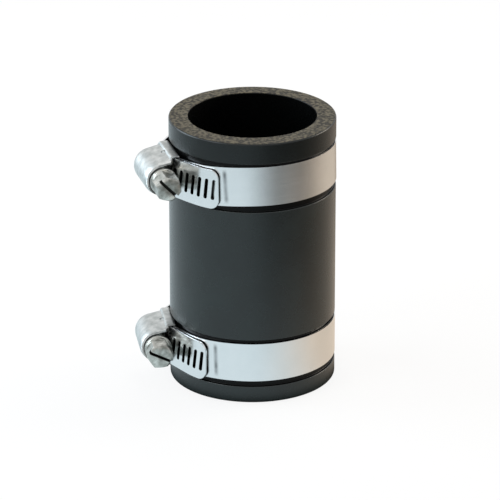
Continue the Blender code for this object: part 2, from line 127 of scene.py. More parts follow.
def less(tree, value, amount):
    """One minus this amount of the value."""
    return worked_out(tree, "SUBTRACT", 1.0, product(tree, value, amount))


def ranged(tree, value, low, high, to_low=0.0, to_high=1.0, curve="LINEAR"):
    """Output that passes from to_low to to_high as the value goes from low to high."""
    return add_node(tree, "ShaderNodeMapRange", {
        "Value": value, "From Min": low, "From Max": high, "To Min": to_low, "To Max": to_high,
    }, interpolation_type=curve).outputs["Result"]


def eased_range(tree, value, low, high, to_low=0.0, to_high=1.0):
    """The same with a soft start and end."""
    return ranged(tree, value, low, high, to_low, to_high, "SMOOTHSTEP")


def mixed(tree, share, first, second):
    """Colour or number on its way from the first to the second."""
    if isinstance(first, float):
        return ranged(tree, share, 0.0, 1.0, first, second)
    node = add_node(tree, "ShaderNodeMix", {"Factor": share, "A": first, "B": second}, data_type="RGBA")
    return node.outputs["Result"]


def noise(tree, where, scale, detail):
    """Soft random pattern with this many features a metre."""
    settings = {"Vector": where, "Scale": scale, "Detail": detail}
    return add_node(tree, "ShaderNodeTexNoise", settings).outputs["Fac"]


def bumped(tree, height, strength, distance):
    """Normal of a surface that a pattern makes uneven."""
    settings = {"Height": height, "Strength": strength, "Distance": distance}
    return add_node(tree, "ShaderNodeBump", settings).outputs["Normal"]


def zone(tree, name):
    """Number that the mesh carries under this name, such as the mark of a cut face."""
    return add_node(tree, "ShaderNodeAttribute", attribute_name=name).outputs["Fac"]


# %% [markdown]
# ## Camera
#
# A long lens from far away keeps the sleeve's sides nearly parallel, as in the photograph. The
# angle above the horizon, the distance and the lens were solved from the ellipses of the rims.
# A small shift places the object in the frame as the photograph does.

# %% Place the camera
CAMERA_ELEVATION = math.radians(22.16)
CAMERA_DISTANCE = 1.315
FOCAL_PIXELS = 3967.0
FRAME_PIXELS = 500.0
TARGET_PIXEL = (252.4, 243.5)
SENSOR_MM = 36.0

camera_data = bpy.data.cameras.new("camera")
camera_data.sensor_width = SENSOR_MM
camera_data.lens = FOCAL_PIXELS / FRAME_PIXELS * SENSOR_MM
camera_data.shift_x = (FRAME_PIXELS / 2 - TARGET_PIXEL[0]) / FRAME_PIXELS
camera_data.shift_y = (TARGET_PIXEL[1] - FRAME_PIXELS / 2) / FRAME_PIXELS
camera = put_in_scene("camera", camera_data)
sleeve_middle = Vector((AXIS_X, AXIS_Y, SLEEVE_LENGTH / 2))
camera_back = Vector((0.0, -math.cos(CAMERA_ELEVATION), math.sin(CAMERA_ELEVATION)))
camera.location = sleeve_middle + CAMERA_DISTANCE * camera_back
camera.rotation_euler = (math.pi / 2 - CAMERA_ELEVATION, 0.0, 0.0)
bpy.context.scene.camera = camera
bpy.context.scene.view_settings.view_transform = "Standard"
print("lens, mm:", round(camera_data.lens, 1))

# %% [markdown]
# ## Floor, room and lamps
#
# The coupling stands on a white sweep. Polished metal shows the room more than itself: seen from
# above, the bright strip mirrors the floor around it. So the floor looks white to the camera, and
# glows unevenly in reflections. A darker sector to the front and right gives the strip its grey
# band. The floor is a little dimmer on the right, behind and far out, dark at the sleeve's foot,
# cool on the left and warm on the right. A part of it stays matt, which keeps the shadow. Angles go
# round the sleeve from the eye, in radians and positive to the right.

# %% Build the floor
FLOOR_HALF_SIZE = 3.0
CAMERA_SHARE = 0.80
CAMERA_GLOW = 1.05
SHADE_BEGINS = (math.radians(-18.0), math.radians(38.0))
SHADE_ENDS = (math.radians(60.0), math.radians(122.0))
SHADE_LEFT_OVER = 0.20
SHADE_REACH = (0.060, 0.220)
SHADE_DEPTH = (0.10, 0.70)
RIGHT_SHADE = (0.7, 1.9)
RIGHT_DIMMING = 0.15
BACK_SHADE = (math.radians(138.0), math.radians(165.0))
BACK_DIMMING = 0.45
FAR_REACH = (0.20, 0.50)
FAR_DIMMING = 0.40
FOOT_SHADE_REACH = (0.026, 0.036)
WARM_SIDE = (0.0, 1.6)

floor_mesh = bpy.data.meshes.new("floor")
floor_shape = bmesh.new()
bmesh.ops.create_grid(floor_shape, x_segments=8, y_segments=8, size=FLOOR_HALF_SIZE)
floor_shape.to_mesh(floor_mesh)
floor_shape.free()
floor = put_in_scene("floor", floor_mesh)


def floor_finish():
    material, tree, shader = new_material("matt_white_sweep", Roughness=0.9)
    shader.inputs["Base Color"].default_value = linear("#f2f2f2")
    place = add_node(tree, "ShaderNodeNewGeometry").outputs["Position"]
    from_axis = add_node(tree, "ShaderNodeVectorMath", {
        0: place, 1: (AXIS_X, AXIS_Y, 0.0),
    }, operation="SUBTRACT").outputs[0]
    reach = add_node(tree, "ShaderNodeVectorMath", {0: from_axis}, operation="LENGTH").outputs["Value"]
    sides = add_node(tree, "ShaderNodeSeparateXYZ", {"Vector": from_axis}).outputs
    around = worked_out(tree, "ARCTAN2", sides["X"], product(tree, sides["Y"], -1.0))
    begins = eased_range(tree, around, *SHADE_BEGINS)
    lasts = less(tree, eased_range(tree, around, *SHADE_ENDS), 1.0 - SHADE_LEFT_OVER)
    depth = eased_range(tree, reach, *SHADE_REACH, *SHADE_DEPTH)
    bright = less(tree, product(tree, product(tree, begins, lasts), depth), 1.0)
    for value, span, dimming in (
        (around, RIGHT_SHADE, RIGHT_DIMMING),
        (around, BACK_SHADE, BACK_DIMMING),
        (reach, FAR_REACH, FAR_DIMMING),
    ):
        bright = product(tree, bright, less(tree, eased_range(tree, value, *span), dimming))
    bright = product(tree, bright, eased_range(tree, reach, *FOOT_SHADE_REACH))
    tint = mixed(tree, eased_range(tree, around, *WARM_SIDE), linear("#e6f5fb"), linear("#f8e6d2"))
    path = add_node(tree, "ShaderNodeLightPath").outputs
    to_camera = path["Is Camera Ray"]
    colour = mixed(tree, to_camera, tint, linear("#ffffff"))
    strength = worked_out(tree, "MAXIMUM", bright, product(tree, to_camera, CAMERA_GLOW))
    glow = add_node(tree, "ShaderNodeEmission", {"Color": colour, "Strength": strength})
    share = worked_out(tree, "MAXIMUM", product(tree, to_camera, CAMERA_SHARE), path["Is Glossy Ray"])
    blend = add_node(tree, "ShaderNodeMixShader", {
        "Fac": share, 1: shader.outputs[0], 2: glow.outputs[0],
    })
    tree.links.new(blend.outputs[0], tree.nodes["Material Output"].inputs["Surface"])
    return material


floor_mesh.materials.append(floor_finish())
print("floor reaches %.1f m from the middle" % FLOOR_HALF_SIZE)

# %% [markdown]
# The room is white too, and brighter in reflections than it is as a lamp, so that it doesn't wash
# the shadow out. Four round softboxes do the rest. Each is placed by two angles in degrees: round
# the object from the eye, positive to the right, and up from the horizon.

# %% Light the room
AMBIENT_STRENGTH = 0.35
ROOM_GLOW = 1.0

world = bpy.data.worlds.new("white_room")
world.use_nodes = True
room = world.node_tree
path = add_node(room, "ShaderNodeLightPath").outputs
seen = worked_out(room, "MAXIMUM", path["Is Camera Ray"], path["Is Glossy Ray"])
feed(room, room.nodes["Background"], Strength=mixed(room, seen, AMBIENT_STRENGTH, ROOM_GLOW))
room.nodes["Background"].inputs["Color"].default_value = linear("#ffffff")
bpy.context.scene.world = world

LAMPS = (
    ("key_softbox", -100.0, 18.0, 0.8, 0.60, 4.5, "#e4f3ff"),
    ("front_softbox", -58.0, 35.0, 1.0, 0.50, 2.2, "#ecf6ff"),
    ("rim_softbox", 110.0, 18.0, 0.8, 0.40, 2.5, "#fff0dd"),
    ("top_softbox", 150.0, 70.0, 0.9, 0.60, 2.0, "#fff8f0"),
)
for name, azimuth, elevation, distance, size, power, colour in LAMPS:
    lamp_data = bpy.data.lights.new(name, "AREA")
    lamp_data.shape = "DISK"
    lamp_data.size = size
    lamp_data.energy = power
    lamp_data.color = linear(colour)[:3]
    lamp = put_in_scene(name, lamp_data)
    around = math.radians(azimuth)
    above = math.radians(elevation)
    level_way = Vector((math.sin(around), -math.cos(around), 0.0))
    way = math.cos(above) * level_way + Vector((0.0, 0.0, math.sin(above)))
    lamp.location = sleeve_middle + distance * way
    lamp.rotation_mode = "QUATERNION"
    lamp.rotation_quaternion = (-way).to_track_quat("-Z", "Y")
print("lamps:", len(LAMPS))

# %% [markdown]
# ## Finishes
#
# The sleeve is moulded rubber with much carbon black in it. The mould leaves a fairly smooth skin with a
# fine grain, so the face towards the eye is nearly black and only the edges, seen at a low angle, turn
# pale. The end faces are cut, not moulded: they are rougher and browner, with a speckle of filler. The bore
# and the seats are painted nearly black and lose most of their shine, as painted shade. The lip above the
# upper clamp takes part of the same painted shade. The mesh marks which faces are cut and how much painted
# shade each face takes.

# %% Moulded rubber
RUBBER_GRAIN_MM = 0.45
RUBBER_CLOUD_MM = 9.0
CUT_SPECKLE_MM = 1.1
SPECKLE_RANGE = (0.40, 0.62)
SKIN_ROUGHNESS = (0.21, 0.33)
CUT_ROUGHNESS = (0.65, 0.50)
SKIN_SHINE = 0.5
CUT_SHINE = 0.3
PAINTED_SHADE_SHARE_OF_SHINE = 0.25
UPPER_LIP_PAINTED_SHADE = 0.45
RUBBER_BUMPS = (0.35, 0.00009)


def moulded_rubber():
    material, tree, shader = new_material("moulded_black_rubber", IOR=1.52)
    here = add_node(tree, "ShaderNodeTexCoord").outputs["Object"]
    clouds = noise(tree, here, 1000 / RUBBER_CLOUD_MM, 3.0)
    grain = noise(tree, here, 1000 / RUBBER_GRAIN_MM, 2.0)
    speckle = noise(tree, here, 1000 / CUT_SPECKLE_MM, 4.0)
    speckled = eased_range(tree, speckle, *SPECKLE_RANGE)
    cut_end = zone(tree, "cut_end")
    painted_shade = zone(tree, "painted_shade")
    skin = mixed(tree, clouds, linear("#0b1212"), linear("#182424"))
    cut = mixed(tree, speckled, linear("#1a170f"), linear("#5d5642"))
    lit = mixed(tree, cut_end, skin, cut)
    smooth = mixed(tree, clouds, *SKIN_ROUGHNESS)
    rougher = worked_out(tree, "SUBTRACT", mixed(tree, speckled, *CUT_ROUGHNESS), smooth)
    shine = mixed(tree, cut_end, SKIN_SHINE, CUT_SHINE)
    height = worked_out(tree, "ADD", grain, product(tree, speckle, cut_end))
    feed(
        tree, shader,
        # Painted shade: the bore, the seats and part of the upper lip are darkened towards near black and
        # lose shine.
        Base_Color=mixed(tree, painted_shade, lit, linear("#050606")),
        Roughness=worked_out(tree, "ADD", smooth, product(tree, rougher, cut_end)),
        Specular_IOR_Level=product(tree, shine, mixed(tree, painted_shade, 1.0, PAINTED_SHADE_SHARE_OF_SHINE)),
        Normal=bumped(tree, height, *RUBBER_BUMPS),
    )
    return material


RUBBER = moulded_rubber()
print("finish:", RUBBER.name)

# %% [markdown]
# The strip is cold-rolled stainless. The rolls leave fine lines along its length, which stretch reflections
# across it. Real lines are some hundredths of a millimetre apart, too fine to show at this size, so they
# are drawn at a third of a millimetre. The pattern follows the strip by its own map of distance and height,
# because it has to bend round the sleeve with the metal. Where the housing and the tail lie over the lower
# layer of the strip, that layer is painted darker as painted shade, as seen through the slots.

# %% Rolled stainless strip
ROLL_LINE_MM = 0.33
ROLL_LINE_LENGTH_MM = 40.0
ROLL_ROUGHNESS = (0.14, 0.26)
NOISE_SPAN = (0.3, 0.7)
STAIN_MM = 7.0
COVERED_SHADE_END_MM = (-5.0, -4.2)
COVERED_SHADE_EDGE = (0.0038, 0.0043)
TAIL_SHADE_HALF_WIDTH_MM = 1.10
TAIL_SHADE_ENDS = (0.0040, 0.0062)
TAIL_SHADE_STAIN_SPAN = (0.25, 0.65)
TAIL_SHADE_DEPTH = (0.45, 0.85)
ROLL_BUMPS = (0.12, 0.00003)


def rolled_stainless():
    material, tree, shader = new_material("rolled_stainless_strip", Metallic=1.0, Roughness=0.26)
    along = add_node(tree, "ShaderNodeUVMap", uv_map="strip_map").outputs["UV"]
    stretched = add_node(tree, "ShaderNodeMapping", {
        "Vector": along, "Scale": (1000 / ROLL_LINE_LENGTH_MM, 1000 / ROLL_LINE_MM, 1.0),
    })
    lines = noise(tree, stretched.outputs[0], 1.0, 3.0)
    here = add_node(tree, "ShaderNodeTexCoord").outputs["Object"]
    stains = noise(tree, here, 1000 / STAIN_MM, 3.0)
    clean = mixed(tree, stains, linear("#dcdfe0"), linear("#e8e9e9"))
    past = zone(tree, "past_tail_shade_mm")
    height = add_node(tree, "ShaderNodeSeparateXYZ", {"Vector": along}).outputs["Y"]
    from_middle = worked_out(tree, "ABSOLUTE", height)
    # Painted shade on the strip's lower layer where the housing and the tail cover it.
    covered_shade_end = eased_range(tree, past, *COVERED_SHADE_END_MM, 1.0, 0.0)
    covered_shade_edge = eased_range(tree, from_middle, *COVERED_SHADE_EDGE, 1.0, 0.0)
    # Painted dark line for the shadow of the tail's end and its reflection in the strip beneath.
    line = eased_range(tree, past, -TAIL_SHADE_HALF_WIDTH_MM, 0.0)
    for limit in (
        eased_range(tree, past, 0.0, TAIL_SHADE_HALF_WIDTH_MM, 1.0, 0.0),
        eased_range(tree, from_middle, *TAIL_SHADE_ENDS, 1.0, 0.0),
        eased_range(tree, stains, *TAIL_SHADE_STAIN_SPAN, *TAIL_SHADE_DEPTH),
    ):
        line = product(tree, line, limit)
    marked = mixed(tree, line, clean, linear("#4c4f50"))
    shade_under_tail = mixed(tree, product(tree, covered_shade_end, covered_shade_edge), marked, linear("#4a4a48"))
    feed(
        tree, shader,
        # Faces marked as recessed are painted dark as shade: the strip's inner side and the walls of its
        # slots.
        Base_Color=mixed(tree, zone(tree, "painted_recess_shade"), shade_under_tail, linear("#5a5a57")),
        Roughness=ranged(tree, lines, *NOISE_SPAN, *ROLL_ROUGHNESS),
        Normal=bumped(tree, lines, *ROLL_BUMPS),
    )
    return material


STRIP_STEEL = rolled_stainless()
print("finish:", STRIP_STEEL.name)

# %% [markdown]
# The housing is pressed from the same sheet and then tumbled with stones to take its burrs off. Tumbling
# leaves a satin skin with soft, uneven patches. The screw is steel with a thin zinc plate: a little darker
# and yellower, with a more uneven shine. The saw cut in its head is painted dark, as painted shade in the
# recess.

# %% Tumbled stainless and zinc-plated steel
TUMBLE_PATCH_MM = 2.2
TUMBLE_GRAIN_MM = 0.35
TUMBLE_BUMPS = (0.25, 0.00004)


def tumbled_metal(name, dark, light, smooth, rough):
    """Satin metal with soft patches: colours and roughness run between two values."""
    material, tree, shader = new_material(name, Metallic=1.0, Roughness=(smooth + rough) / 2)
    here = add_node(tree, "ShaderNodeTexCoord").outputs["Object"]
    patches = ranged(tree, noise(tree, here, 1000 / TUMBLE_PATCH_MM, 4.0), *NOISE_SPAN)
    grain = noise(tree, here, 1000 / TUMBLE_GRAIN_MM, 2.0)
    clean = mixed(tree, patches, linear(dark), linear(light))
    feed(
        tree, shader,
        # Faces marked as recessed, such as the screw's saw cut, are painted dark as shade.
        Base_Color=mixed(tree, zone(tree, "painted_recess_shade"), clean, linear("#2c2c2a")),
        Roughness=mixed(tree, patches, rough, smooth),
        Normal=bumped(tree, grain, *TUMBLE_BUMPS),
    )
    return material


HOUSING_STEEL = tumbled_metal("tumbled_stainless_pressing", "#a4a8a7", "#cbcecd", 0.38, 0.52)
SCREW_STEEL = tumbled_metal("zinc_plated_steel", "#7b7c76", "#cdcec8", 0.22, 0.42)
print("finishes:", HOUSING_STEEL.name, "and", SCREW_STEEL.name)

# %% [markdown]
# ## Shapes
#
# All the outlines are polygons with rounded corners, so one function rounds a list of corners.
# Each corner says its own radius and how many steps its arc takes. Every piece is shaded smooth
# with its broad faces leading the normals, so that a flat wall stays flat up to its rounded edge.
# The strip's broad faces are bent in many small steps, so they are shaded by the bend itself.

# %% Rounded outlines and finished meshes
BROAD_FACE_DOT = 0.97
SHARP_EDGE = math.radians(40.0)


def on_circle(radius, angle, height):
    return radius * math.cos(angle), radius * math.sin(angle), height


def rounded_outline(corners, closed=True):
    """Points through corners (a, b, radius, steps), each corner turned into an arc."""
    outline = []
    last = len(corners) - 1
    for index, (a, b, radius, steps) in enumerate(corners):
        here = Vector((a, b))
        if radius == 0.0 or (not closed and index in (0, last)):
            outline.append(here)
            continue
        back = (Vector(corners[index - 1][:2]) - here).normalized()
        ahead = (Vector(corners[(index + 1) % len(corners)][:2]) - here).normalized()
        half = back.angle(ahead) / 2
        start = here + back * radius / math.tan(half)
        centre = here + (back + ahead).normalized() * radius / math.sin(half)
        first = math.atan2(start.y - centre.y, start.x - centre.x)
        sweep = math.pi - 2 * half
        if back.x * ahead.y - back.y * ahead.x > 0:
            sweep = -sweep
        for step in range(steps + 1):
            angle = first + sweep * step / steps
            outline.append(centre + radius * Vector((math.cos(angle), math.sin(angle))))
    return outline


def mesh_from(shape, name):
    """Mesh from a bmesh, with its faces pointing outwards."""
    bmesh.ops.recalc_face_normals(shape, faces=shape.faces)
    if shape.calc_volume(signed=True) < 0.0:
        bmesh.ops.reverse_faces(shape, faces=shape.faces)
    mesh = bpy.data.meshes.new(name)
    shape.to_mesh(mesh)
    shape.free()
    return mesh


def ringed_mesh(name, rings_of_places, joined):
    """Mesh through rings of places. The last ring meets the first, or else both ends get a cap."""
    shape = bmesh.new()
    rings = [[shape.verts.new(place) for place in places] for places in rings_of_places]
    next_rings = rings[1:] + rings[:1] if joined else rings[1:]
    for ring, following in zip(rings, next_rings):
        for index, vertex in enumerate(ring):
            beside = (index + 1) % len(ring)
            shape.faces.new([vertex, ring[beside], following[beside], following[index]])
    if not joined:
        shape.faces.new(rings[0])
        shape.faces.new(rings[-1])
    return mesh_from(shape, name)


def follow_bend(mesh):
    """Shade the broad faces of a bent strip by the directions that its bend gave them."""
    bent = mesh.attributes.get("bend_normal")
    if bent is None:
        return
    normals = []
    for face in mesh.polygons:
        for loop in face.loop_indices:
            true_normal = bent.data[mesh.loops[loop].vertex_index].vector
            if face.normal.dot(true_normal) < 0.0:
                true_normal = -true_normal
            broad = face.normal.dot(true_normal) > BROAD_FACE_DOT
            normals.append(true_normal if broad else mesh.corner_normals[loop].vector.copy())
    mesh.normals_split_custom_set(normals)


def add_piece(name, mesh, material, node, body, matrix, edge_round=0.0):
    """Dress a CAD node with a finer mesh that rides on the same body."""
    mesh.transform(matrix)
    bent = mesh.attributes.get("bend_normal")
    for place in bent.data if bent else ():
        place.vector = (matrix.to_3x3() @ Vector(place.vector)).normalized()
    mesh.materials.clear()
    mesh.materials.append(material)
    mesh.shade_smooth()
    piece = put_in_scene(name, mesh)
    if edge_round:
        soften = piece.modifiers.new("edge_round", "BEVEL")
        soften.width = edge_round
        soften.segments = 2
        soften.limit_method = "ANGLE"
        soften.angle_limit = SHARP_EDGE
    piece.modifiers.new("broad_faces_lead", "WEIGHTED_NORMAL")
    bpy.context.view_layer.update()
    softened = piece.evaluated_get(bpy.context.evaluated_depsgraph_get())
    piece.data = bpy.data.meshes.new_from_object(softened)
    piece.modifiers.clear()
    follow_bend(piece.data)
    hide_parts(node)
    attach(piece, body)
    low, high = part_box(node)
    corners = [piece.matrix_world @ vertex.co for vertex in piece.data.vertices]
    excess = 0.0
    for side in range(3):
        excess = max(excess, max(point[side] for point in corners) - high[side])
        excess = max(excess, low[side] - min(point[side] for point in corners))
    print("%s: %d faces, past its CAD box by %.3f mm" % (name, len(piece.data.polygons), 1000 * excess))


# %% [markdown]
# ### Sleeve
#
# A rubber tube has no hard edge anywhere, so its section is a polygon with every corner rounded. The
# section is turned round the axis in 240 steps, which keeps the outline within a hundredth of a millimetre
# of a true circle. Blender's Screw modifier would turn it too, but the cut faces and the faces with painted
# shade are marked afterwards, and for that they have to be there.

# %% Turn the sleeve
BORE_RADIUS = 0.0211
SEAT_DEPTH = 0.0009
SEAT_HALF_WIDTH = 0.00825
UPPER_SEAT_INSET = 0.0154
LOWER_SEAT_INSET = 0.0140
RIM_ROUND = 0.0007
BORE_ROUND = 0.0004
SEAT_ROUND = 0.0003
SLEEVE_STEPS = 240
LEVEL_FACE = 0.8
SEAT_RADIUS = SLEEVE_RADIUS - SEAT_DEPTH


def turned_mesh(name, outline, steps):
    """Turn a closed outline of (radius, height) about Z."""
    rings = []
    for radius, height in outline:
        rings.append([on_circle(radius, 2 * math.pi * step / steps, height) for step in range(steps)])
    return ringed_mesh(name, rings, joined=True)


def sleeve_outline():
    corners = [(BORE_RADIUS, 0.0, BORE_ROUND, 4), (SLEEVE_RADIUS, 0.0, RIM_ROUND, 6)]
    for middle in (LOWER_SEAT_INSET, SLEEVE_LENGTH - UPPER_SEAT_INSET):
        low = middle - SEAT_HALF_WIDTH
        high = middle + SEAT_HALF_WIDTH
        seat = ((SLEEVE_RADIUS, low), (SEAT_RADIUS, low), (SEAT_RADIUS, high), (SLEEVE_RADIUS, high))
        corners += [(radius, height, SEAT_ROUND, 4) for radius, height in seat]
    corners.append((SLEEVE_RADIUS, SLEEVE_LENGTH, RIM_ROUND, 6))
    corners.append((BORE_RADIUS, SLEEVE_LENGTH, BORE_ROUND, 4))
    return rounded_outline(corners)


def mark_sleeve(mesh):
    """Mark the cut end faces, and the faces that take painted shade: all of it in the bore and the seats,
    part of it on the upper lip.
    """
    cut = mesh.attributes.new("cut_end", "FLOAT", "FACE")
    painted_shade = mesh.attributes.new("painted_shade", "FLOAT", "FACE")
    for face in mesh.polygons:
        radius = math.hypot(face.center.x, face.center.y)
        height = face.center.z
        at_end = min(height, SLEEVE_LENGTH - height) < RIM_ROUND
        in_bore = radius < BORE_RADIUS + BORE_ROUND / 4
        in_seat = not at_end and not in_bore and radius < SLEEVE_RADIUS - SEAT_DEPTH / 4
        on_lip = height > SLEEVE_LENGTH - UPPER_SEAT_INSET + SEAT_HALF_WIDTH
        on_end = at_end and abs(face.normal.z) > LEVEL_FACE
        # The upper lip takes part of the painted shade; the bore and the seats take all of it.
        lip_shade = UPPER_LIP_PAINTED_SHADE if on_lip and not on_end else 0.0
        cut.data[face.index].value = 1.0 if on_end else 0.0
        painted_shade.data[face.index].value = 1.0 if in_bore or in_seat else lip_shade


on_axis = Matrix.Translation((AXIS_X, AXIS_Y, 0.0))
sleeve_mesh = turned_mesh("sleeve", sleeve_outline(), SLEEVE_STEPS)
mark_sleeve(sleeve_mesh)
add_piece("sleeve", sleeve_mesh, RUBBER, "rubber_sleeve", "sleeve", on_axis)

# %% [markdown]
# ### Strip
#
# A press punches the slots while the strip is flat, and the strip is rolled up afterwards. The
# mesh is made the same way: a flat pattern with its slots, cut across in short steps so that it
# can bend, then laid on the route that the strip follows and given its thickness.
#
# The route starts under the housing, goes once round the sleeve and comes back over its own
# start. It is made of straight lines and arcs, like a path for a small turtle that only turns left.

# %% Draw the strip's route
STRIP_WIDTH = 0.0132
STRIP_THICKNESS = 0.0006
STRIP_CORNER = 0.0045
FLAT_HALF_LENGTH = 0.0052
STRIP_TO_SEAT = 0.00035
LAYER_GAP = 0.00035
LIP_TO_SEAT = 0.00025
HOUSING_WALL = 0.0006
STRIP_TO_LIP = 0.0002
LAYER_STEP = STRIP_THICKNESS + LAYER_GAP
RING_RADIUS = SEAT_RADIUS + STRIP_TO_SEAT + STRIP_THICKNESS / 2
LIP_FACE = SEAT_RADIUS + LIP_TO_SEAT
FIXED_FLAT = LIP_FACE + HOUSING_WALL + STRIP_TO_LIP + STRIP_THICKNESS / 2
FREE_FLAT = FIXED_FLAT + LAYER_STEP
FREE_TOP = FREE_FLAT + STRIP_THICKNESS / 2


class StripRoute:
    """Middle line of the strip, seen along the sleeve's axis."""

    def __init__(self, point, heading):
        self.point = Vector(point)
        self.heading = heading
        self.pieces = []
        self.length = 0.0

    def add(self, length, radius=None):
        """Go straight on, or turn left round an arc of this radius."""
        self.pieces.append((self.length, length, radius, self.point.copy(), self.heading))
        self.point, self.heading = self.after(length, radius, self.point, self.heading)
        self.length += length

    @staticmethod
    def after(length, radius, point, heading):
        forward = Vector((math.cos(heading), math.sin(heading)))
        if radius is None:
            return point + forward * length, heading
        left = Vector((-forward.y, forward.x))
        centre = point + left * radius
        return centre + Matrix.Rotation(length / radius, 2) @ (point - centre), heading + length / radius

    def at(self, distance):
        """Point on the middle line and the outward direction there."""
        start, length, radius, point, heading = self.pieces[-1]
        for piece in self.pieces:
            if distance <= piece[0] + piece[1]:
                start, length, radius, point, heading = piece
                break
        reached, facing = self.after(distance - start, radius, point, heading)
        return reached, Vector((math.sin(facing), -math.cos(facing)))


def run_to_ring(flat):
    """Turn round the corner and straight length that lead from a flat down to the ring."""
    across = flat - STRIP_CORNER
    reach = math.hypot(across, FLAT_HALF_LENGTH)
    turn = math.atan2(FLAT_HALF_LENGTH, across) + math.acos((RING_RADIUS - STRIP_CORNER) / reach)
    return turn, math.sqrt(reach ** 2 - (RING_RADIUS - STRIP_CORNER) ** 2)


ahead_turn, ahead_straight = run_to_ring(FIXED_FLAT)
back_turn, back_straight = run_to_ring(FREE_FLAT)
route = StripRoute((FIXED_FLAT, -FLAT_HALF_LENGTH), math.pi / 2)
route.add(2 * FLAT_HALF_LENGTH)
route.add(STRIP_CORNER * ahead_turn, STRIP_CORNER)
route.add(ahead_straight)
route.add(RING_RADIUS * (2 * math.pi - ahead_turn - back_turn), RING_RADIUS)
route.add(back_straight)
route.add(STRIP_CORNER * back_turn, STRIP_CORNER)
SCREW_MIDDLE = route.length + FLAT_HALF_LENGTH
route.add(2 * FLAT_HALF_LENGTH)
route.add((STRIP_CORNER + LAYER_STEP) * ahead_turn, STRIP_CORNER + LAYER_STEP)
route.add(ahead_straight)
route.add(RING_RADIUS, RING_RADIUS + LAYER_STEP)
print("strip passes the middle of the screw at, mm:", round(1000 * SCREW_MIDDLE, 1))

# %% [markdown]
# A clamp that is drawn up by hand never lies quite square. Its ring leans a little in the seat, its
# housing lies askew on the ring, and the strip bends edgewise to follow. So each clamp has its own
# numbers, and one smooth curve leads the strip from the askew housing back into its ring.

# %% Say how each clamp lies
UPPER_CLAMP_RISE = 0.00014
LOWER_CLAMP_RISE = 0.0004
RETURN_LENGTH = 0.0300
APPROACH_LENGTH = 0.0200
# The last number of each clamp places the painted dark line that stands for the shadow and reflection of
# the tail's end.
CLAMPS = (
    {
        "name": "upper", "height": SLEEVE_LENGTH - UPPER_SEAT_INSET + UPPER_CLAMP_RISE,
        "lean_right": 0.0151, "lean_back": -0.0205, "turn": math.radians(-162.5),
        "skew": math.radians(-4.6), "drop": 0.0002, "tail_drop": 0.0014,
        "drawn": -0.35, "head_turn": math.radians(-47.0), "tail_shade_offset": 0.0018,
    },
    {
        "name": "lower", "height": LOWER_SEAT_INSET + LOWER_CLAMP_RISE,
        "lean_right": 0.0, "lean_back": 0.0, "turn": math.radians(-171.0),
        "skew": math.radians(-2.6), "drop": 0.0002, "tail_drop": 0.0012,
        "drawn": -0.58, "head_turn": math.radians(-27.0), "tail_shade_offset": 0.0029,
    },
)
print("clamps:", ", ".join(clamp["name"] for clamp in CLAMPS))


def eased(begin, slope, end, share, length):
    """Smooth curve that leaves begin at this slope and comes to rest at end after this length."""
    share = min(1.0, share)
    from_begin = begin * (2 * share ** 3 - 3 * share ** 2 + 1)
    from_slope = slope * length * (share ** 3 - 2 * share ** 2 + share)
    return from_begin + from_slope + end * (3 * share ** 2 - 2 * share ** 3)


def strip_level(distance, tail, clamp):
    """Height of the strip's middle line on the clamp's ring, at a distance along the strip."""
    slope = math.tan(clamp["skew"])
    fixed_end = 2 * FLAT_HALF_LENGTH
    flat_begin = SCREW_MIDDLE - FLAT_HALF_LENGTH
    flat_end = SCREW_MIDDLE + FLAT_HALF_LENGTH
    at_head_side = -clamp["drop"] + slope * FLAT_HALF_LENGTH
    at_rear_side = -clamp["drop"] - slope * FLAT_HALF_LENGTH
    if distance < fixed_end:
        return -clamp["drop"] + slope * (distance - FLAT_HALF_LENGTH)
    if distance < SCREW_MIDDLE / 2:
        return eased(at_head_side, slope, 0.0, (distance - fixed_end) / RETURN_LENGTH, RETURN_LENGTH)
    if distance < flat_begin:
        return eased(at_rear_side, -slope, 0.0, (flat_begin - distance) / APPROACH_LENGTH, APPROACH_LENGTH)
    if distance < flat_end:
        return -clamp["drop"] + slope * (distance - SCREW_MIDDLE)
    length = tail - flat_end
    return eased(at_head_side, slope, -clamp["tail_drop"], (distance - flat_end) / length, length)


# %% [markdown]
# The slots lean a little, by the same angle as the thread that runs in them, and have the thread's pitch.
# The tail's corners are rounded so that they don't cut a hand. A press leaves the walls of the slots torn
# and a little dull. Those walls and the strip's inner side are marked as recessed and painted dark, as
# painted shade, so that the slots look dark.
# A painted dark line stands for the shadow of the tail's end and its reflection in the strip beneath, a
# little way past the place where the end lies. The mesh carries the distance past that line, and the finish
# paints the line from it.

# %% Punch and roll the strip
PITCH = 0.0027
SLOT_WIDTH = 0.0013
SLOT_LENGTH = 0.0070
SLOTS_BEHIND = 13
SLOTS_AHEAD = 9
SLOTS = SLOTS_BEHIND + SLOTS_AHEAD + 1
SLOT_END_ROUNDNESS = 0.9
TAIL_PAST_SLOT = 0.0017
TAIL_CORNER = 0.0030
BEND_STEP = 0.0006
CUTS_PER_SLOT = 5
SLOPE_STEP = 0.0001
HOUSING_HALF_LENGTH = 0.0080
ROOT_RADIUS = 0.0036
THREAD_HEIGHT = 0.0009
CREST_RADIUS = ROOT_RADIUS + THREAD_HEIGHT
SLOT_LEAN = PITCH / (math.pi * (ROOT_RADIUS + CREST_RADIUS))
UNDER_TAIL_SHARE = 0.975
TAIL_LIFT = 0.0005
MARK_MARGIN = 1.02


def slot_corners(centre):
    """Outline of one slot in the flat strip, with round ends, as (distance, height)."""
    half_width = SLOT_WIDTH / 2
    half_length = SLOT_LENGTH / 2
    end_round = SLOT_END_ROUNDNESS * half_width
    outline = rounded_outline([
        (-half_width, -half_length, end_round, 3), (half_width, -half_length, end_round, 3),
        (half_width, half_length, end_round, 3), (-half_width, half_length, end_round, 3),
    ])
    return [(centre + point.x + point.y * SLOT_LEAN, point.y) for point in outline]


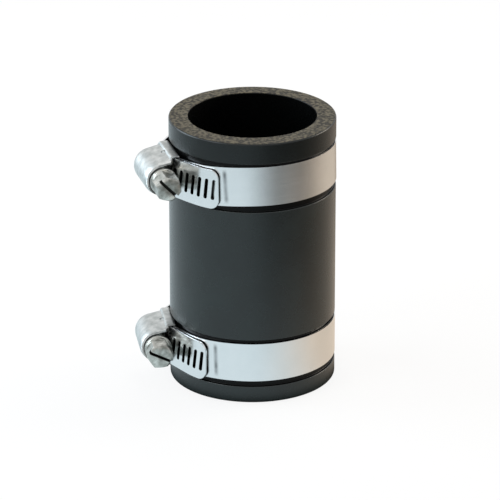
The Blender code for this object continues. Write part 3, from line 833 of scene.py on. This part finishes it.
def flat_pattern(first_slot, tail):
    """Flat strip with its slots, as a bmesh in (distance, height)."""
    half = STRIP_WIDTH / 2
    shape = bmesh.new()
    known = {}

    def corner(distance, height):
        key = (round(distance, 7), round(height, 7))
        if key not in known:
            known[key] = shape.verts.new((distance, height, 0.0))
        return known[key]

    def border(number):
        return first_slot + (number - 0.5) * PITCH

    plain = ((0.0, -half), (border(0), -half), (border(0), half), (0.0, half))
    shape.faces.new([corner(*place) for place in plain])
    for number in range(SLOTS):
        begin = border(number)
        end = border(number + 1)
        lower = [(begin, -half), (end, -half)]
        upper = [(end, half), (begin, half)]
        if number == SLOTS - 1:
            rounded = rounded_outline([
                (begin, -half, 0.0, 0), (tail, -half, TAIL_CORNER, 8),
                (tail, half, TAIL_CORNER, 8), (begin, half, 0.0, 0),
            ], closed=False)
            rounded = [(point.x, point.y) for point in rounded]
            lower = rounded[:len(rounded) // 2]
            upper = rounded[len(rounded) // 2:]
        hole = slot_corners(first_slot + number * PITCH)
        quarter = len(hole) // 4
        for path_corners in (
            lower + hole[:2 * quarter][::-1],
            upper + hole[2 * quarter:][::-1],
            [upper[-1], lower[0], hole[0], hole[-1]],
            [lower[-1], upper[0], hole[2 * quarter], hole[2 * quarter - 1]],
        ):
            shape.faces.new([corner(*place) for place in path_corners])
    return shape


def bend_marks(first_slot, tail):
    """Distances at which the flat strip is cut across so that it can bend."""
    marks = []
    slotted_from = first_slot - PITCH / 2
    for start, length, _, _, _ in route.pieces:
        steps = math.ceil(length / BEND_STEP)
        marks += [start + length * step / steps for step in range(steps)]
    plain = [mark for mark in marks if 0.0 < mark < slotted_from - BEND_STEP / 2]
    cells = math.ceil((tail - slotted_from) / PITCH)
    cuts = [slotted_from + PITCH * step / CUTS_PER_SLOT for step in range(cells * CUTS_PER_SLOT)]
    return plain + [cut for cut in cuts if cut < tail - SLOPE_STEP]


def laid_point(distance, height, side, tail, clamp):
    """Place of a point of the flat strip once it is rolled up: outer face at side 1, inner at -1."""
    level = strip_level(distance, tail, clamp)
    rise = (strip_level(distance + SLOPE_STEP, tail, clamp) - level) / SLOPE_STEP
    point, outward = route.at(distance - rise * height)
    past = max(0.0, distance - SCREW_MIDDLE - HOUSING_HALF_LENGTH) / (tail - SCREW_MIDDLE)
    point = point + outward * (side * STRIP_THICKNESS / 2 + TAIL_LIFT * past)
    return Vector((point.x, point.y, height + level))


def strip_mesh(clamp):
    """Strip of one clamp: its flat pattern laid on the route, with its map and its faces marked for painted
    shade.
    """
    first_slot = SCREW_MIDDLE + (clamp["drawn"] - SLOTS_BEHIND) * PITCH
    tail = first_slot + (SLOTS - 1) * PITCH + TAIL_PAST_SLOT
    shape = flat_pattern(first_slot, tail)
    # Where the painted dark line of the tail end's shadow and reflection lies on the strip beneath.
    tail_shade_at = FLAT_HALF_LENGTH + UNDER_TAIL_SHARE * (tail - SCREW_MIDDLE) + clamp["tail_shade_offset"]
    for mark in bend_marks(first_slot, tail):
        everything = shape.verts[:] + shape.edges[:] + shape.faces[:]
        place = (mark, 0.0, 0.0)
        bmesh.ops.bisect_plane(shape, geom=everything, plane_co=place, plane_no=(1.0, 0.0, 0.0))
    bmesh.ops.triangulate(shape, faces=[face for face in shape.faces if len(face.verts) > 4])
    shape.verts.ensure_lookup_table()
    solid = bmesh.new()
    map_layer = solid.loops.layers.uv.new("strip_map")
    recess_shade_layer = solid.faces.layers.float.new("painted_recess_shade")
    tail_shade_layer = solid.verts.layers.float.new("past_tail_shade_mm")
    normal_layer = solid.verts.layers.float_vector.new("bend_normal")
    flat_place = {}
    sides = {}

    def lay(distance, height, side):
        return laid_point(distance, height, side, tail, clamp)

    for side in (1, -1):
        for vertex in shape.verts:
            distance, height = vertex.co.x, vertex.co.y
            along = lay(distance + BEND_STEP, height, side) - lay(distance - BEND_STEP, height, side)
            across = lay(distance, height + BEND_STEP, side) - lay(distance, height - BEND_STEP, side)
            laid = solid.verts.new(lay(distance, height, side))
            laid[normal_layer] = along.cross(across).normalized()
            laid[tail_shade_layer] = 1000 * (distance - tail_shade_at)
            sides[vertex.index, side] = laid
            flat_place[laid] = (distance, height)
    for face in shape.faces:
        indices = [vertex.index for vertex in face.verts]
        outer = solid.faces.new([sides[index, 1] for index in indices])
        inner = solid.faces.new([sides[index, -1] for index in reversed(indices)])
        # The inner side is painted dark as shade.
        outer[recess_shade_layer] = 0.0
        inner[recess_shade_layer] = 1.0
    for edge in shape.edges:
        if len(edge.link_faces) == 1:
            first, second = [vertex.index for vertex in edge.verts]
            ends = ((first, 1), (first, -1), (second, -1), (second, 1))
            wall = solid.faces.new([sides[end] for end in ends])
            on_slot = max(abs(vertex.co.y) for vertex in edge.verts) < MARK_MARGIN * SLOT_LENGTH / 2
            before_end = edge.verts[0].co.x < tail - TAIL_PAST_SLOT / 2
            # The walls of the slots are painted dark as shade.
            wall[recess_shade_layer] = 1.0 if on_slot and before_end else 0.0
    for face in solid.faces:
        for loop in face.loops:
            loop[map_layer].uv = flat_place[loop.vert]
    shape.free()
    return mesh_from(solid, "strip")


print("slots in each strip:", SLOTS)

# %% [markdown]
# ### Housing
#
# The housing is one pressing: an arch over the screw, a shoulder each side, sides that hold the
# strip in line, and lips folded under its fixed end. The same section runs from end to end, so it
# is lofted along the screw. Towards the rear the arch shrinks to a dome that is open for the nose,
# and the shoulders have their corners cut off. At the front the arch narrows a little, and the
# shoulders stop before it does. On each shoulder a small round dimple shows where the press pinched
# the pieces together.

# %% Press the housing
SCREW_TO_STRIP = 0.00025
THREAD_TO_ARCH = 0.0007
STRIP_SIDE_GAP = 0.00025
STRIP_TO_SHOULDER = 0.0003
LIP_REACH = 0.0022
LIP_HALF_LENGTH = 0.0048
SIDE_ROUND = 0.0009
SHOULDER_ROUND = 0.0007
SHOULDER_FILLET = 0.0001
SHOULDER_SET_BACK = 0.0012
REAR_CORNER_CUT = 0.0018
ARCH_SLOPE = math.radians(12.0)
DIMPLE_RADIUS = 0.0008
DIMPLE_DEPTH = 0.0003
REAR_DOME_LENGTH = 0.0030
REAR_DOME_SCALE = 0.64
FRONT_TAPER_LENGTH = 0.0030
FRONT_TAPER_SCALE = 0.91
LOFT_STEP = 0.0004
ARCH_ROUNDNESS = 0.999
SCREW_AXIS = FREE_TOP + SCREW_TO_STRIP + ROOT_RADIUS
ARCH_RADIUS = CREST_RADIUS + THREAD_TO_ARCH
CHANNEL_HALF_WIDTH = STRIP_WIDTH / 2 + STRIP_SIDE_GAP
SHOULDER_LEVEL = FREE_TOP + STRIP_TO_SHOULDER


def housing_line(wall, arch_scale):
    """One face of the housing's section, as (outward, across); the inner face is at wall 0."""
    arch = ARCH_RADIUS * arch_scale + wall
    side = CHANNEL_HALF_WIDTH + wall
    lip = LIP_FACE + HOUSING_WALL - wall
    level = SHOULDER_LEVEL + wall
    foot = arch / math.cos(ARCH_SLOPE) + (SCREW_AXIS - level) * math.tan(ARCH_SLOPE)
    crown = SCREW_AXIS + arch
    crown_corner = arch * math.tan(math.pi / 4 - ARCH_SLOPE / 2)
    half = [
        (lip, CHANNEL_HALF_WIDTH - LIP_REACH, 0.0, 0),
        (lip, side, SIDE_ROUND - HOUSING_WALL + wall, 4),
        (level, side, SHOULDER_ROUND - HOUSING_WALL + wall, 6),
        (level, foot, SHOULDER_FILLET + HOUSING_WALL - wall, 5),
        (crown, crown_corner, ARCH_ROUNDNESS * arch, 16),
    ]
    other = [(outward, -across, radius, steps) for outward, across, radius, steps in reversed(half)]
    return rounded_outline(half + other, closed=False)


def housing_stations():
    """Distance along the screw and arch scale of each section, rear first."""
    count = round(2 * HOUSING_HALF_LENGTH / LOFT_STEP)
    stations = []
    for step in range(count + 1):
        distance = HOUSING_HALF_LENGTH * (2 * step / count - 1)
        into_dome = min(1.0, (distance + HOUSING_HALF_LENGTH) / REAR_DOME_LENGTH)
        rise = math.sqrt(1 - (1 - into_dome) ** 2)
        from_front = min(1.0, (HOUSING_HALF_LENGTH - distance) / FRONT_TAPER_LENGTH)
        taper = FRONT_TAPER_SCALE + (1 - FRONT_TAPER_SCALE) * from_front * (2 - from_front)
        stations.append((distance, taper * (REAR_DOME_SCALE + (1 - REAR_DOME_SCALE) * rise)))
    return stations


def block_mesh(name, size, matrix):
    """Rectangular block of this size about its own middle, placed by a matrix."""
    shape = bmesh.new()
    bmesh.ops.create_cube(shape, size=1.0)
    bmesh.ops.scale(shape, vec=size, verts=shape.verts)
    bmesh.ops.transform(shape, matrix=matrix, verts=shape.verts)
    return mesh_from(shape, name)


def combined_mesh(name, base, steps):
    """Base mesh with each (operation, mesh) of steps applied by an exact Boolean."""
    body = put_in_scene(name, base)
    helpers = [body]
    for operation, mesh in steps:
        helper = put_in_scene(mesh.name, mesh)
        helpers.append(helper)
        cut = body.modifiers.new(mesh.name, "BOOLEAN")
        cut.operation = operation
        cut.object = helper
        cut.solver = "EXACT"
    bpy.context.view_layer.update()
    evaluated = body.evaluated_get(bpy.context.evaluated_depsgraph_get())
    mesh = bpy.data.meshes.new_from_object(evaluated)
    mesh.name = name
    for helper in helpers:
        bpy.data.objects.remove(helper, do_unlink=True)
    return mesh


def dimple_mesh(side):
    """Ball that presses the dimple into one shoulder."""
    shape = bmesh.new()
    bmesh.ops.create_uvsphere(shape, u_segments=24, v_segments=16, radius=DIMPLE_RADIUS)
    outward = SHOULDER_LEVEL + HOUSING_WALL + DIMPLE_RADIUS - DIMPLE_DEPTH
    across = side * (CHANNEL_HALF_WIDTH - DIMPLE_RADIUS / 2)
    bmesh.ops.translate(shape, vec=(outward, 0.0, across), verts=shape.verts)
    return mesh_from(shape, "dimple")


def housing_mesh():
    shape = bmesh.new()
    sections = []
    for distance, scale in housing_stations():
        section = []
        for wall in (HOUSING_WALL, 0.0):
            section.append([shape.verts.new((p.x, distance, p.y)) for p in housing_line(wall, scale)])
        sections.append(section)

    def skin(first, second):
        for index in range(len(first) - 1):
            shape.faces.new([first[index], first[index + 1], second[index + 1], second[index]])

    for (outer, inner), (next_outer, next_inner) in zip(sections, sections[1:]):
        skin(outer, next_outer)
        skin(next_inner, inner)
        for tip in (0, -1):
            shape.faces.new([outer[tip], inner[tip], next_inner[tip], next_outer[tip]])
    for outer, inner in (sections[0], sections[-1]):
        skin(outer, inner)
    shell = mesh_from(shape, "housing_shell")
    notch = HOUSING_HALF_LENGTH - LIP_HALF_LENGTH
    width = 2 * CHANNEL_HALF_WIDTH + HOUSING_WALL / 4
    cuts = []
    for end in (-1, 1):
        place = Matrix.Translation((LIP_FACE, end * (LIP_HALF_LENGTH + notch), 0.0))
        cuts.append(block_mesh("lip_notch", (4 * HOUSING_WALL, 2 * notch, width), place))
    step_height = 2 * (SHOULDER_LEVEL + HOUSING_WALL + SHOULDER_FILLET - LIP_FACE)
    front = Matrix.Translation((LIP_FACE, HOUSING_HALF_LENGTH, 0.0))
    step_size = (step_height, 2 * SHOULDER_SET_BACK, 4 * CHANNEL_HALF_WIDTH)
    cuts.append(block_mesh("front_step", step_size, front))
    cut_side = REAR_CORNER_CUT * math.sqrt(2.0)
    for side in (-1, 1):
        cuts.append(dimple_mesh(side))
        corner = (LIP_FACE, -HOUSING_HALF_LENGTH, side * (CHANNEL_HALF_WIDTH + HOUSING_WALL))
        askew_cut = Matrix.Translation(corner) @ Matrix.Rotation(math.pi / 4, 4, "X")
        cuts.append(block_mesh("rear_corner", (step_height, cut_side, cut_side), askew_cut))
    return combined_mesh("housing", shell, [("DIFFERENCE", cut) for cut in cuts])


HOUSING_MESH = housing_mesh()
print("housing faces:", len(HOUSING_MESH.polygons))

# %% [markdown]
# ### Screw
#
# The blank is turned, the thread is rolled on it, the hexagon is formed with its outer corners
# rounded off by a cone, and a slot is sawn across the head. The thread is one ridge wound round the
# axis, with its ends run out to nothing. Booleans join them, as the pieces really are one.

# %% Make the screw
COLLAR_GAP = 0.0003
COLLAR_THICKNESS = 0.0011
FLANGE_RADIUS = 0.0042
FLANGE_THICKNESS = 0.0012
HEX_ACROSS_FLATS = 0.0077
HEX_LENGTH = 0.0054
HEX_CHAMFER = 0.0009
DRIVE_SLOT_WIDTH = 0.0010
DRIVE_SLOT_DEPTH = 0.0019
NOSE_RADIUS = 0.0024
NOSE_LENGTH = 0.0016
THREAD_CREST = 0.0005
THREAD_FOOT = 0.0009
THREAD_TURNS = 3
THREAD_STEPS = 64
THREAD_SINK = 0.0003
SCREW_STEPS = 96
CORE_RADIUS = 0.00001
CONE_REACH = 1.2
CONE_SLOPE = 1.6
END_ON = 0.1

tail_corner = STRIP_CORNER + LAYER_STEP + STRIP_THICKNESS / 2
tail_drop = CREST_RADIUS + SCREW_TO_STRIP - (SCREW_AXIS - FREE_TOP)
after_corner = (tail_drop - tail_corner * (1 - math.cos(ahead_turn))) / math.tan(ahead_turn)
TAIL_CLEAR = FLAT_HALF_LENGTH + tail_corner * math.sin(ahead_turn) + after_corner
COLLAR_START = HOUSING_HALF_LENGTH + COLLAR_GAP
FLANGE_START = max(COLLAR_START + COLLAR_THICKNESS, TAIL_CLEAR)
HEX_FOOT = FLANGE_START + FLANGE_THICKNESS
HEX_END = HEX_FOOT + HEX_LENGTH


def screw_outline():
    nose_end = -HOUSING_HALF_LENGTH - NOSE_LENGTH / 2
    nose_start = nose_end + NOSE_LENGTH
    thread_start = nose_start + (ROOT_RADIUS - NOSE_RADIUS) / 2
    return rounded_outline([
        (CORE_RADIUS, nose_end, 0.0, 0), (NOSE_RADIUS, nose_end, NOSE_LENGTH / 4, 4),
        (NOSE_RADIUS, nose_start, 0.0, 0), (ROOT_RADIUS, thread_start, 0.0, 0),
        (ROOT_RADIUS, COLLAR_START, 0.0, 0), (CREST_RADIUS, COLLAR_START, 0.0, 0),
        (CREST_RADIUS, FLANGE_START, 0.0, 0), (FLANGE_RADIUS, FLANGE_START, FLANGE_THICKNESS / 4, 4),
        (FLANGE_RADIUS, HEX_FOOT, FLANGE_THICKNESS / 4, 4), (CORE_RADIUS, HEX_FOOT, 0.0, 0),
    ])


def wound_thread(drawn):
    """Ridge of the thread, turned so that it stands in the slots of a strip drawn this far."""
    inner = ROOT_RADIUS - THREAD_SINK
    total = THREAD_TURNS * THREAD_STEPS
    rings = []
    for step in range(total + 1):
        angle = math.pi + 2 * math.pi * ((step - total / 2) / THREAD_STEPS - drawn)
        middle = PITCH * (step - total / 2) / THREAD_STEPS
        rise = min(1.0, 3 * step / THREAD_STEPS, 3 * (total - step) / THREAD_STEPS)
        crest = ROOT_RADIUS - THREAD_SINK / 2 + (THREAD_HEIGHT + THREAD_SINK / 2) * rise
        section = (
            (inner, -THREAD_FOOT / 2), (crest, -THREAD_CREST / 2),
            (crest, THREAD_CREST / 2), (inner, THREAD_FOOT / 2),
        )
        rings.append([on_circle(radius, angle, middle + offset) for radius, offset in section])
    return ringed_mesh("thread", rings, joined=False)


def chamfer_cone():
    """Turned body that trims the corners of the hexagon with a cone."""
    corner = HEX_ACROSS_FLATS / math.sqrt(3.0)
    low = HEX_FOOT - FLANGE_THICKNESS
    wide = CONE_REACH * corner
    outline = rounded_outline([
        (CORE_RADIUS, low, 0.0, 0), (wide, low, 0.0, 0), (wide, HEX_END - CONE_SLOPE * HEX_CHAMFER, 0.0, 0),
        (corner - HEX_CHAMFER, HEX_END, 0.0, 0), (CORE_RADIUS, HEX_END, 0.0, 0),
    ])
    return turned_mesh("chamfer_cone", outline, SCREW_STEPS)


def hexagon(turn):
    corner = HEX_ACROSS_FLATS / math.sqrt(3.0)
    rings = []
    for height in (HEX_FOOT - FLANGE_THICKNESS / 2, HEX_END + HEX_CHAMFER):
        rings.append([on_circle(corner, turn + math.pi * step / 3, height) for step in range(6)])
    head = ringed_mesh("hexagon_bar", rings, joined=False)
    return combined_mesh("hexagon", head, [("INTERSECT", chamfer_cone())])


def screw_mesh(clamp):
    """Screw of one clamp, with the faces of its saw cut marked for painted shade."""
    turn = clamp["head_turn"]
    blank = turned_mesh("screw_blank", screw_outline(), SCREW_STEPS)
    saw = Matrix.Translation((0.0, 0.0, HEX_END)) @ Matrix.Rotation(turn, 4, "Z")
    saw_cut = block_mesh("saw_cut", (2 * HEX_ACROSS_FLATS, DRIVE_SLOT_WIDTH, 2 * DRIVE_SLOT_DEPTH), saw)
    head = hexagon(turn + math.pi / 6)
    steps = [("UNION", wound_thread(clamp["drawn"])), ("UNION", head), ("DIFFERENCE", saw_cut)]
    mesh = combined_mesh("screw", blank, steps)
    # The saw cut's faces are marked for painted shade.
    painted_recess_shade = mesh.attributes.new("painted_recess_shade", "FLOAT", "FACE")
    across_slot = Matrix.Rotation(-turn, 3, "Z")
    slot_floor = HEX_END - MARK_MARGIN * DRIVE_SLOT_DEPTH
    for face in mesh.polygons:
        sideways = abs((across_slot @ face.center).y)
        end_on = abs((across_slot @ face.normal).x)
        near = sideways < MARK_MARGIN * DRIVE_SLOT_WIDTH / 2
        in_slot = near and slot_floor < face.center.z < HEX_END
        painted_recess_shade.data[face.index].value = 1.0 if in_slot and end_on < END_ON else 0.0
    return mesh


# %% [markdown]
# ## Put both clamps on
#
# Each clamp is made in its own frame, with the middle of its housing at +X and its screw along Y.
# One matrix carries it to its seat: up to its height, leaning as it was pushed on, and turned round
# the sleeve. A second one sets the housing and the screw askew on the ring.

# %% Dress the clamps
STRIP_EDGE_ROUND = 0.00010
PRESS_EDGE_ROUND = 0.00012
SCREW_EDGE_ROUND = 0.00010

for clamp in CLAMPS:
    label = clamp["name"]
    ring = Matrix.Translation((AXIS_X, AXIS_Y, clamp["height"]))
    ring = ring @ Matrix.Rotation(-math.asin(clamp["lean_right"]), 4, "Y")
    ring = ring @ Matrix.Rotation(math.asin(clamp["lean_back"]), 4, "X")
    ring = ring @ Matrix.Rotation(clamp["turn"], 4, "Z")
    askew = ring @ Matrix.Translation((0.0, 0.0, -clamp["drop"])) @ Matrix.Rotation(clamp["skew"], 4, "X")
    screw_seat = askew @ Matrix.Translation((SCREW_AXIS, 0.0, 0.0)) @ Matrix.Rotation(-math.pi / 2, 4, "X")
    add_piece(label + "_strip", strip_mesh(clamp), STRIP_STEEL,
              label + "_band", label + "_clamp", ring, STRIP_EDGE_ROUND)
    add_piece(label + "_shell", HOUSING_MESH.copy(), HOUSING_STEEL,
              label + "_housing", label + "_clamp", askew, PRESS_EDGE_ROUND)
    add_piece(label + "_worm_screw", screw_mesh(clamp), SCREW_STEEL,
              label + "_screw", label + "_worm", screw_seat, SCREW_EDGE_ROUND)
